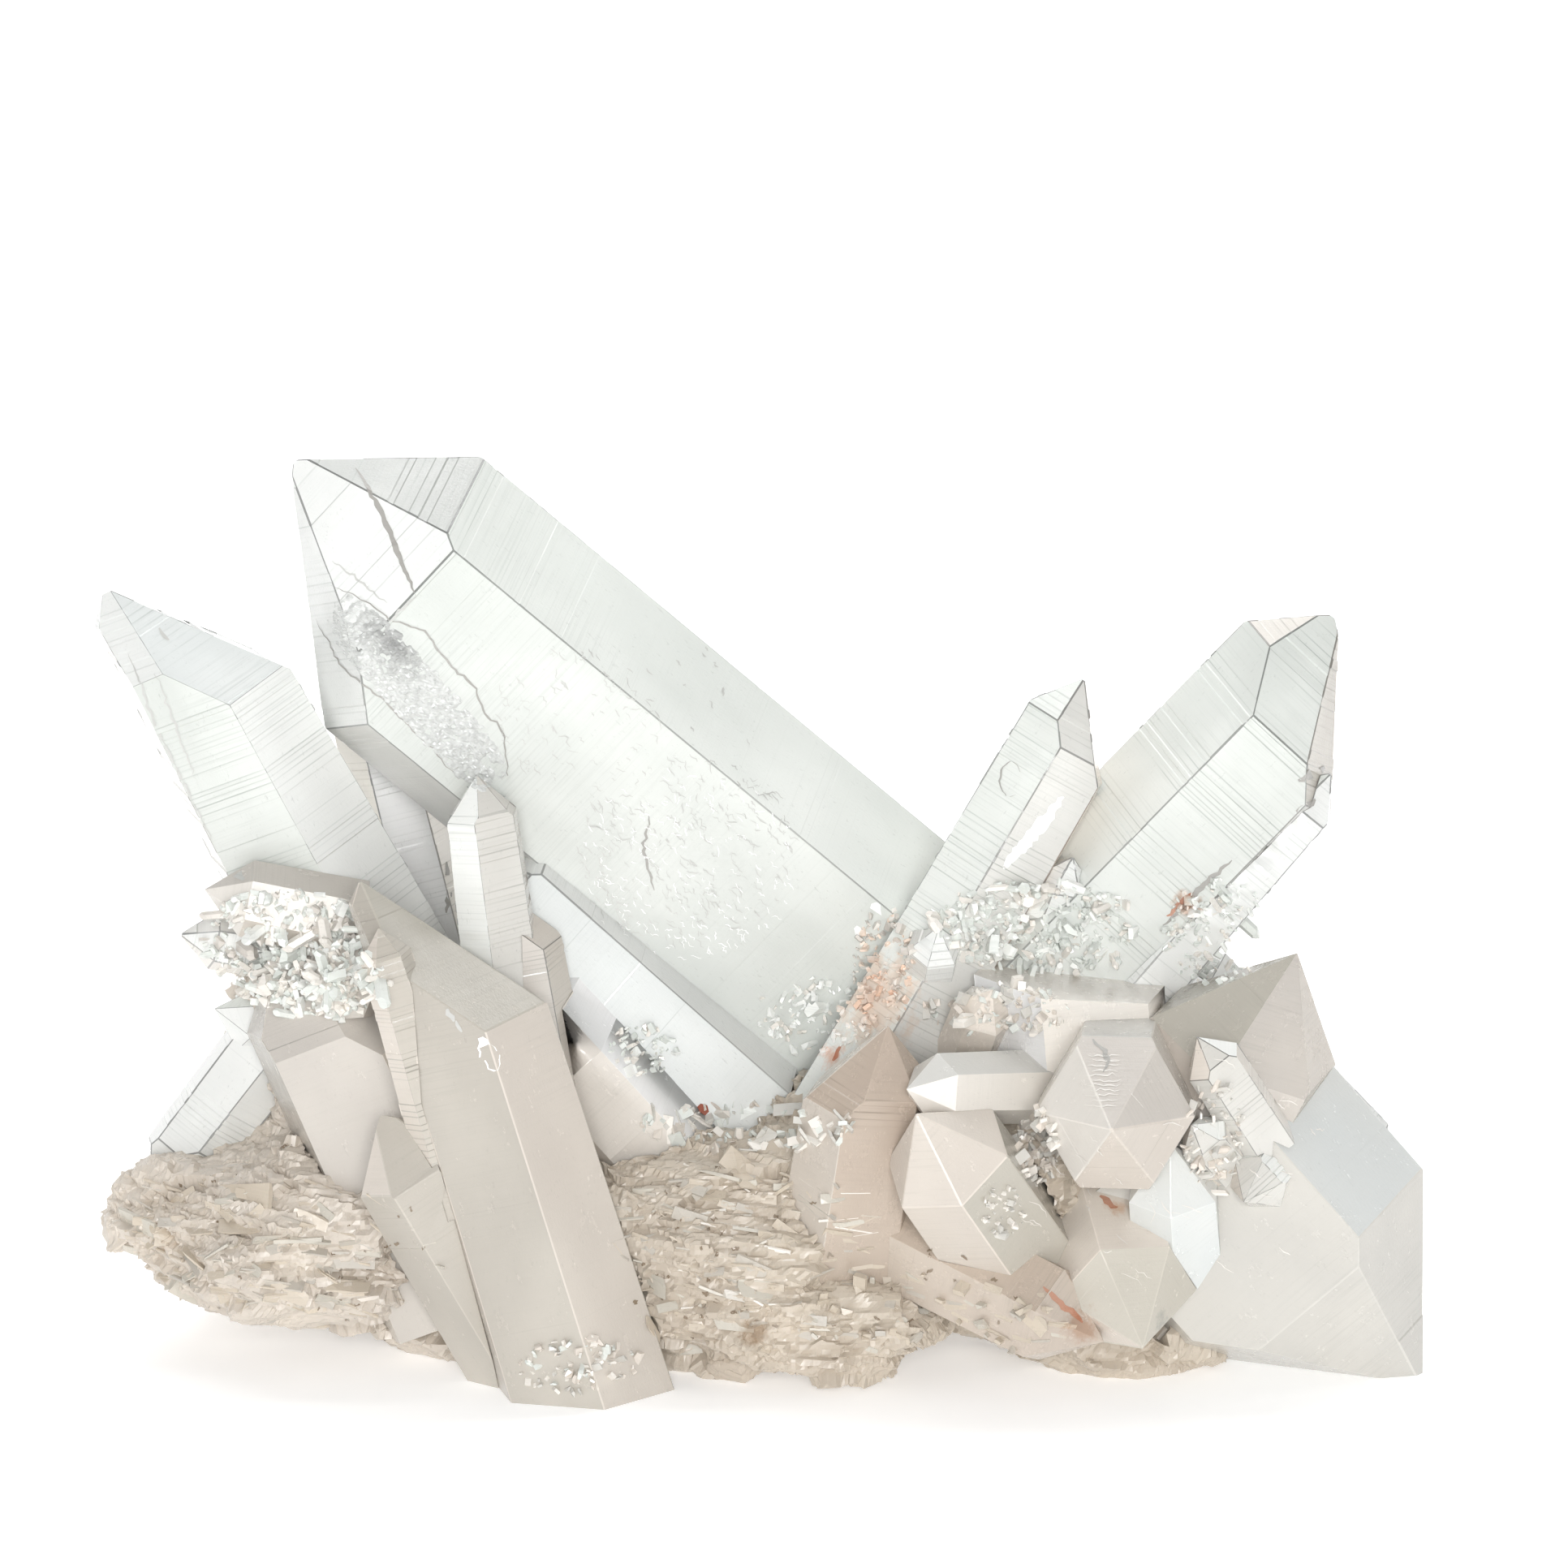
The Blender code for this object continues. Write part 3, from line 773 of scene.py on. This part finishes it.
def hollow_sheet():
    forward = HOLLOW_END - HOLLOW_START
    sideways = Vector((-forward.y, forward.x)).normalized()
    rows, columns = HOLLOW_STEPS
    verts, faces, colours, index = [], [], [], {}
    for i in range(rows):
        for j in range(columns):
            s, t = i / (rows - 1), j / (columns - 1) * 2 - 1
            half = HOLLOW_WIDTH / 2 * (1 - abs(2 * s - 1) ** 5)
            flat = HOLLOW_START + forward * s + sideways * half * t
            found = surface_at(flat.x, flat.y)
            if not found:
                continue
            place, normal = found
            inside = 1 - max(abs(t), abs(2 * s - 1)) ** 6
            rough = noise.fractal(place / MM * 1.5, 0.7, 2.1, 5)
            lift = (HOLLOW_LIFT + HOLLOW_CRINKLE * rough) * inside - RIM_DEPTH * (1 - inside)
            index[i, j] = len(verts)
            verts.append(place + normal * lift * MM)
    for i in range(rows - 1):
        for j in range(columns - 1):
            corner = [index.get(key) for key in ((i, j), (i + 1, j), (i + 1, j + 1), (i, j + 1))]
            if None in corner:
                continue
            faces.append(corner)
            colours.append(hollow_tone(i / rows, j / columns, verts[corner[0]]))
    mesh = bpy.data.meshes.new("etched_hollow")
    mesh.from_pydata(verts, [], faces)
    piece = new_piece("etched_hollow", mesh, "clear_quartz")
    store_looks(piece, np.ones(len(verts)), np.array(verts) / MM, np.zeros(len(faces)), colours)
    return piece


hollow = hollow_sheet()
print("etched hollow:", len(hollow.data.polygons), "faces")

# %% [markdown]
# ## Cracks and marks
# Cracks, wrinkles and rust lines are thin, ragged slivers that lie on the facets. A few dark
# slivers are painted shade instead: two along the rim of the etched hollow and one in a small
# notch near the tip of the left tall crystal. Each one is a path of a few points given by width
# and height, its edges wander a little, and it narrows to nothing at both ends.


# %% Slivers laid on the stone
MARK_STEP = 0.35
MARK_WANDER = 0.07
MARK_LIFT = 0.04
LONGEST_JUMP = 1.5 * MM


def add_marks(name, tone, marks):
    """marks holds (points of the path, width) in millimetres."""
    rng = np.random.default_rng(sum(map(ord, name)))
    verts, faces, first = [], [], 0
    for path, width in marks:
        path = [Vector(point) for point in path]
        line = []
        for start, end in zip(path, path[1:]):
            steps = max(2, int((end - start).length / MARK_STEP))
            line += [start.lerp(end, k / steps) for k in range(steps)]
        line.append(path[-1])
        ahead = (line[-1] - line[0]).normalized() if line[-1] != line[0] else Vector((1, 0))
        sideways = Vector((-ahead.y, ahead.x))
        count, rows = len(line), []
        for k, flat in enumerate(line):
            half = width / 2 * math.sin(math.pi * (k + 0.3) / (count - 0.4)) ** 0.6
            shift = sideways * rng.normal(0, MARK_WANDER)
            pair = []
            for way_out in (-1, 1):
                at = flat + shift + sideways * half * way_out * rng.uniform(0.7, 1.2)
                found = surface_at(at.x, at.y)
                if found:
                    pair.append(found[0] + found[1] * MARK_LIFT * MM)
            rows.append(pair)
        for a, b in zip(rows, rows[1:]):
            if len(a) == len(b) == 2 and max((p - a[0]).length for p in a + b) < LONGEST_JUMP:
                verts += [a[0], b[0], b[1], a[1]]
                faces.append([first, first + 1, first + 2, first + 3])
                first += 4
    mesh = bpy.data.meshes.new(name)
    mesh.from_pydata(verts, [], faces)
    piece = new_piece(name, mesh, "clear_quartz")
    *seen, clear = tone
    colour = [seen_as_light(value) for value in seen] + [clear]
    store_looks(piece, np.ones(len(verts)), np.array(verts) / MM, np.zeros(len(faces)),
                [colour] * len(faces))
    return piece


def scattered(name, count, middle, reach, direction, length, width):
    """Short marks scattered over an ellipse, all about one way."""
    rng = np.random.default_rng(sum(map(ord, name)) + 1)
    marks = []
    for _ in range(count):
        x, z = chance_place(rng, middle, reach)
        lean = direction + rng.normal(0, 0.35)
        step = length * rng.uniform(0.4, 1.3)
        bend = rng.normal(0, 0.2)
        mid = (x + step / 2 * math.cos(lean + bend), z + step / 2 * math.sin(lean + bend))
        end = (x + step * math.cos(lean), z + step * math.sin(lean))
        marks.append(([(x, z), mid, end], width * rng.uniform(0.6, 1.4)))
    return marks


ring = [(20.8 + 0.9 * math.cos(a), 46.9 + 1.5 * math.sin(a)) for a in np.linspace(0.4, 6.1, 14)]
rungs = [([(27.0 + z % 0.8, z), (30.2 - z % 0.5, z)], 0.12) for z in np.arange(19.4, 23.6, 0.42)]
marks = [
    add_marks("cracks_dark", (0.66, 0.65, 0.63, 0.1), [
        ([(-32.5, 72.6), (-30.4, 68.6), (-27.9, 62.1)], 0.45),
        ([(-8.9, 43.9), (-9.4, 41.2), (-8.5, 37.6)], 0.28),
        ([(33.5, 34.6), (36.3, 37.6), (39.1, 40.1)], 0.5),
        ([(-25.7, 40.0), (-25.2, 38.1), (-25.7, 35.7)], 0.5),
        ([(27.8, 25.0), (28.7, 24.0), (29.1, 23.0), (28.7, 22.2)], 0.45),
        ([(44.4, 46.8), (46.6, 47.8)], 0.8),
        ([(44.3, 44.2), (45.9, 45.1)], 0.6),
        (ring[:12], 0.14),
        # These two follow the edges of the etched hollow: painted shade along its rim, not
        # cracks.
        ([(-34.8, 62.9), (-33.0, 62.2), (-31.3, 61.2), (-30.0, 60.1), (-27.2, 59.2),
          (-25.5, 56.8), (-23.2, 54.7), (-22.3, 52.4), (-20.8, 50.7), (-20.5, 47.2),
          (-22.5, 45.9)], 0.2),
        ([(-36.0, 60.2), (-34.0, 56.2), (-30.6, 53.4), (-27.2, 50.0), (-24.5, 46.9)], 0.16),
    ]),
    add_marks("cracks_faint", (0.80, 0.80, 0.785, 0.1), [
        ([(-51.4, 57.4), (-49.2, 51.0), (-44.8, 41.5)], 0.25),
        ([(-49.2, 55.7), (-46.2, 46.9)], 0.18),
        # a small notch near the tip of the left tall crystal, drawn as painted shade
        ([(-48.9, 59.4), (-48.1, 58.4)], 0.3),
        ([(-34.6, 65.0), (-30.2, 61.5)], 0.18),
        ([(-27.9, 62.1), (-30.2, 59.8)], 0.25),
        ([(-46.2, 43.8), (-44.8, 40.8), (-42.4, 38.4)], 1.6),
        ([(-25.7, 27.6), (-25.2, 26.5)], 0.5),
        ([(-25.0, 26.6), (-24.6, 25.6)], 0.3),
    ] + scattered("wrinkles", 260, (-6, 41), (9, 8), -0.85, 0.9, 0.09)
      + scattered("upper wrinkles", 80, (-15, 52), (7, 6), -0.85, 0.8, 0.09)
      + scattered("upper face nicks", 26, (-4, 56), (13, 6), -0.8, 0.6, 0.12)),
    add_marks("rust_lines", (0.74, 0.55, 0.46, 0.05), [
        ([(23.8, 3.7), (25.4, 2.4), (27.2, 0.7)], 0.55),
        ([(33.8, 35.4), (35.8, 37.4)], 0.45),
        ([(6.2, 23.2), (6.9, 24.4)], 0.4),
        ([(28.6, 11.7), (29.9, 10.5)], 0.6),
    ]),
    add_marks("red_spot", (0.60, 0.36, 0.30, 0.0), [([(-4.9, 19.4), (-4.2, 18.7)], 0.9)]),
    add_marks("white_marks", (0.985, 0.985, 0.98, 0.0), [
        ([(-40.7, 34.5), (-39.2, 33.9), (-37.5, 33.1)], 0.9),
        ([(-22.9, 25.2), (-21.8, 22.3)], 1.5),
        ([(20.2, 39.5), (22.8, 42.5), (25.2, 45.4)], 1.2),
        ([(8.2, 33.8), (10.0, 36.5)], 1.6),
    ] + scattered("bright wrinkles", 200, (-6, 40), (9, 8), -0.85, 0.7, 0.09)),
    add_marks("pale_lines", (0.90, 0.885, 0.86, 0.0),
              rungs + scattered("right pale lines", 40, (34, 14), (14, 10), -0.7, 1.6, 0.08)),
    add_marks("dark_specks", (0.55, 0.49, 0.42, 0.0),
              scattered("specks", 40, (-3, 7), (9, 8), 0.0, 0.5, 0.3)
              + scattered("left specks", 24, (-40, 8), (12, 8), 0.0, 0.5, 0.25)
              + scattered("middle specks", 14, (13, 3), (9, 4), 0.0, 0.5, 0.25)),
]
print(len(marks), "groups of marks")

# %% [markdown]
# ## Surfaces
# Quartz is clear at the tips and milky towards the root, where tiny bubbles were trapped. One
# recipe serves all pieces. It starts from the stored tone of the facet, lets noise make places
# milky, draws the growth lines darker in bands, scatters fine etch flecks, and lays rust-coloured
# patches where iron seeped in. Only a little light passes through: with more, the stone is grey.


# %% A recipe for quartz
def node(tree, kind, **values):
    made = tree.nodes.new(kind)
    for key, value in values.items():
        setattr(made, key, value)
    return made


def connect(tree, value, socket):
    """Joins an output to the socket, or sets the plain value on it."""
    if isinstance(value, bpy.types.NodeSocket):
        tree.links.new(value, socket)
    elif isinstance(value, tuple) and len(value) == 3 and socket.type == "RGBA":
        socket.default_value = (*value, 1.0)
    else:
        socket.default_value = value


def ramp(tree, value, stops):
    made = tree.nodes.new("ShaderNodeValToRGB")
    elements = made.color_ramp.elements
    while len(elements) < len(stops):
        elements.new(0.5)
    for element, (place, level) in zip(elements, stops):
        element.position = place
        element.color = (level, level, level, 1.0)
    connect(tree, value, made.inputs["Fac"])
    return made.outputs["Color"]


def noise_value(tree, where, stretch, detail=4.0, rough=0.55):
    scaled = node(tree, "ShaderNodeVectorMath", operation="MULTIPLY")
    connect(tree, where, scaled.inputs[0])
    scaled.inputs[1].default_value = stretch
    made = tree.nodes.new("ShaderNodeTexNoise")
    made.inputs["Scale"].default_value = 1.0
    made.inputs["Detail"].default_value = detail
    made.inputs["Roughness"].default_value = rough
    connect(tree, scaled.outputs[0], made.inputs["Vector"])
    return made.outputs["Fac"]


def maths(tree, operation, a, b):
    made = node(tree, "ShaderNodeMath", operation=operation)
    connect(tree, a, made.inputs[0])
    connect(tree, b, made.inputs[1])
    return made.outputs[0]


def blend(tree, factor, a, b, how="MIX"):
    made = node(tree, "ShaderNodeMix", data_type="RGBA", blend_type=how)
    for index, value in ((0, factor), (6, a), (7, b)):
        connect(tree, value, made.inputs[index])
    return made.outputs[2]


STAINS = [  # (middle in millimetres, reach, colour that tints the stone)
    ((9.0, -8.0, 30.0), 12.0, (0.96, 0.80, 0.71)),
    ((6.5, -7.0, 25.0), 3.6, (0.90, 0.56, 0.44)),
    ((35.0, -6.7, 37.5), 3.2, (0.72, 0.48, 0.36)),
    ((25.4, -22.0, 6.5), 4.0, (0.80, 0.62, 0.52)),
    ((28.7, -17.8, 14.5), 2.6, (0.84, 0.64, 0.52)),
    ((-0.2, -19.8, 5.4), 3.6, (0.62, 0.52, 0.43)),
    ((-47.0, -10.0, 11.0), 6.0, (0.86, 0.76, 0.66)),
    ((31.6, -22.4, 7.0), 2.6, (0.62, 0.64, 0.66)),
]


QUARTZ_IOR = 1.544
BUMP_STRENGTH, BUMP_HEIGHT = 0.35, 0.05 * MM
LINE_TINT, FLECK_TINT = (0.60, 0.62, 0.61), (0.45, 0.46, 0.45)


def quartz(name, milk, milkiness, roughness, flecked):
    """milk is the tone of milky places and milkiness their share; flecked is for etch flecks."""
    made = bpy.data.materials.new(name)
    made.use_nodes = True
    tree = made.node_tree
    shader = tree.nodes["Principled BSDF"]
    world_place = node(tree, "ShaderNodeTexCoord").outputs["Object"]
    where = node(tree, "ShaderNodeAttribute", attribute_name="place").outputs["Vector"]
    stored = node(tree, "ShaderNodeAttribute", attribute_name="tone")
    rooted = node(tree, "ShaderNodeAttribute", attribute_name="from_root").outputs["Fac"]
    line = node(tree, "ShaderNodeAttribute", attribute_name="line").outputs["Fac"]
    clouds = noise_value(tree, where, (0.11, 0.11, 0.08), 2.0, 0.5)
    wisps = noise_value(tree, where, (0.8, 0.8, 0.5), 6.0, 0.7)
    veils = noise_value(tree, where, (0.16, 0.16, 0.07), 2.0, 0.4)
    thin = noise_value(tree, where, (0.12, 0.12, 5.5), 3.0, 0.7)
    etched = noise_value(tree, where, (4.5, 4.5, 1.8), 3.0, 0.7)
    cloudy = maths(tree, "ADD", maths(tree, "MULTIPLY", clouds, 0.6),
                   maths(tree, "MULTIPLY", veils, 0.4))
    lower = maths(tree, "MULTIPLY", maths(tree, "SUBTRACT", 0.55, rooted), 0.35)
    milky = ramp(tree, maths(tree, "ADD", cloudy, lower), [(0.35, 0.0), (0.95, milkiness)])
    colour = blend(tree, milky, stored.outputs["Color"], tuple(map(seen_as_light, milk)))
    shadowy = ramp(tree, veils, [(0.2, 0.92), (0.8, 1.02)])
    colour = blend(tree, 1.0, colour, shadowy, "MULTIPLY")
    band = ramp(tree, clouds, [(0.40, 0.25), (0.58, 1.0)])
    upper = maths(tree, "MULTIPLY", band, ramp(tree, rooted, [(0.35, 0.15), (0.75, 1.0)]))
    fine = maths(tree, "MULTIPLY", ramp(tree, thin, [(0.50, 0.0), (0.66, flecked)]), upper)
    lined = maths(tree, "MAXIMUM", maths(tree, "MULTIPLY", line, band), fine)
    colour = blend(tree, lined, colour, LINE_TINT, "MULTIPLY")
    patchy = ramp(tree, wisps, [(0.46, 0.0), (0.6, 1.0)])
    fleck = maths(tree, "MULTIPLY", ramp(tree, etched, [(0.60, 0.0), (0.68, flecked)]), patchy)
    colour = blend(tree, fleck, colour, FLECK_TINT, "MULTIPLY")
    for middle, reach, tint in STAINS:
        away = node(tree, "ShaderNodeVectorMath", operation="DISTANCE")
        connect(tree, world_place, away.inputs[0])
        away.inputs[1].default_value = [value * MM for value in middle]
        near = maths(tree, "DIVIDE", away.outputs["Value"], reach * MM)
        patch = maths(tree, "ADD", near, maths(tree, "MULTIPLY", wisps, 1.2))
        colour = blend(tree, ramp(tree, patch, [(0.75, 0.85), (1.25, 0.0)]), colour, tint,
                       "MULTIPLY")
    connect(tree, colour, shader.inputs["Base Color"])
    solid = maths(tree, "MAXIMUM", milky, lined)
    through = maths(tree, "MULTIPLY", maths(tree, "SUBTRACT", 1.0, solid),
                    stored.outputs["Alpha"])
    connect(tree, through, shader.inputs["Transmission Weight"])
    rough = ramp(tree, wisps, [(0.3, roughness * 0.6), (0.7, roughness * 1.7)])
    connect(tree, rough, shader.inputs["Roughness"])
    bump = node(tree, "ShaderNodeBump")
    bump.inputs["Strength"].default_value = BUMP_STRENGTH
    bump.inputs["Distance"].default_value = BUMP_HEIGHT
    relief = maths(tree, "ADD", maths(tree, "MULTIPLY", thin, 0.7), etched)
    connect(tree, relief, bump.inputs["Height"])
    connect(tree, bump.outputs["Normal"], shader.inputs["Normal"])
    shader.inputs["IOR"].default_value = QUARTZ_IOR
    return made


looks = {
    "clear_quartz": quartz("clear_quartz_look", (0.945, 0.945, 0.93), 0.5, 0.05, 0.3),
    "milky_quartz": quartz("milky_quartz_look", (0.83, 0.81, 0.77), 0.5, 0.18, 0.2),
    "stained_quartz": quartz("stained_quartz_look", (0.80, 0.76, 0.70), 0.5, 0.2, 0.25),
    "broken_mass": quartz("broken_mass_look", (0.83, 0.79, 0.73), 0.5, 0.3, 0.2),
}
for piece in list(crystals.values()) + crusts + marks + [mass, hollow]:
    piece.data.materials.clear()
    piece.data.materials.append(looks[piece["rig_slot"]])
print(len(looks), "surfaces")

# %% [markdown]
# ## A bright studio
# The cluster stands on a pale sweep of paper in a bright room. The paper glows a little, which
# keeps the undersides of the stone pale. The strongest lamp on the stone stands beyond the eye,
# so its light reaches into the gaps. Weaker ones stand above, left and right, and one more lights
# the paper behind.

# %% Floor, lamps and surroundings
sweep_bm = bmesh.new()
PAPER_SIDE = 1.8
PAPER_GLOW = 0.3
profile = [(-0.9, 0.0), (0.6, 0.0), (0.74, 0.03), (0.84, 0.10), (0.88, 0.22), (0.9, 1.6)]
ends = [[sweep_bm.verts.new((x, y, z)) for x in (-PAPER_SIDE, PAPER_SIDE)] for y, z in profile]
for (a, b), (c, d) in zip(ends, ends[1:]):
    sweep_bm.faces.new((a, b, d, c))
sweep_mesh = bpy.data.meshes.new("sweep")
sweep_bm.to_mesh(sweep_mesh)
sweep_bm.free()
sweep = bpy.data.objects.new("sweep", sweep_mesh)
bpy.context.scene.collection.objects.link(sweep)
sweep_mesh.shade_smooth()
paper = bpy.data.materials.new("paper")
paper.use_nodes = True
paper_tree = paper.node_tree
paper_shader = paper_tree.nodes["Principled BSDF"]
paper_where = node(paper_tree, "ShaderNodeTexCoord").outputs["Object"]
paper_grain = noise_value(paper_tree, paper_where, (30.0, 30.0, 30.0))
connect(paper_tree, ramp(paper_tree, paper_grain, [(0.3, 0.94), (0.7, 0.96)]),
        paper_shader.inputs["Base Color"])
paper_shader.inputs["Roughness"].default_value = 0.9
paper_shader.inputs["Emission Color"].default_value = (1.0, 1.0, 1.0, 1.0)
paper_shader.inputs["Emission Strength"].default_value = PAPER_GLOW
sweep_mesh.materials.append(paper)


def soft_lamp(name, place, aim, size, power):
    """A rectangular lamp; places and sizes are in metres, its power is in watts."""
    light = bpy.data.lights.new(name, "AREA")
    light.shape = "RECTANGLE"
    light.size, light.size_y = size
    light.energy = power
    lamp = bpy.data.objects.new(name, light)
    bpy.context.scene.collection.objects.link(lamp)
    lamp.location = place
    lamp.rotation_euler = (Vector(aim) - Vector(place)).to_track_quat("-Z", "Y").to_euler()
    return lamp


MIDDLE = (0, 0, 0.03)
ROOM_LIGHT = 0.25
soft_lamp("lamp_above", (0.0, -0.05, 0.75), MIDDLE, (0.7, 0.5), 0.35)
soft_lamp("lamp_left", (-0.6, -0.45, 0.35), MIDDLE, (0.35, 0.5), 0.5)
soft_lamp("lamp_right", (0.75, -0.2, 0.3), MIDDLE, (0.3, 0.5), 0.3)
soft_lamp("lamp_front", (0.03, -0.62, 0.17), MIDDLE, (0.25, 0.2), 2.7)
soft_lamp("lamp_behind", (0.0, 0.3, 1.0), (0, 0.9, 0.15), (1.6, 0.3), 9.0)

world = bpy.data.worlds.new("surroundings")
bpy.context.scene.world = world
world.use_nodes = True
sky_tree = world.node_tree
background = sky_tree.nodes["Background"]
direction = node(sky_tree, "ShaderNodeTexCoord").outputs["Generated"]
height = node(sky_tree, "ShaderNodeSeparateXYZ")
connect(sky_tree, direction, height.inputs[0])
sky = ramp(sky_tree, height.outputs["Z"], [(0.0, 0.85), (0.4, 0.95), (1.0, 1.0)])
connect(sky_tree, sky, background.inputs["Color"])
background.inputs["Strength"].default_value = ROOM_LIGHT

# %% [markdown]
# ## The camera
# The view comes from the front and a little above, from a few times the cluster's width away.

# %% Camera and tones
VIEW_WIDTH = 0.1288
SENSOR = 36.0
camera_data = bpy.data.cameras.new("camera")
camera = bpy.data.objects.new("camera", camera_data)
bpy.context.scene.collection.objects.link(camera)
camera.location = EYE
camera.rotation_euler = LOOKING.to_track_quat("-Z", "Y").to_euler()
camera_data.sensor_width = SENSOR
camera_data.lens = SENSOR * EYE_AWAY / VIEW_WIDTH
bpy.context.scene.camera = camera
bpy.context.scene.view_settings.view_transform = "Standard"
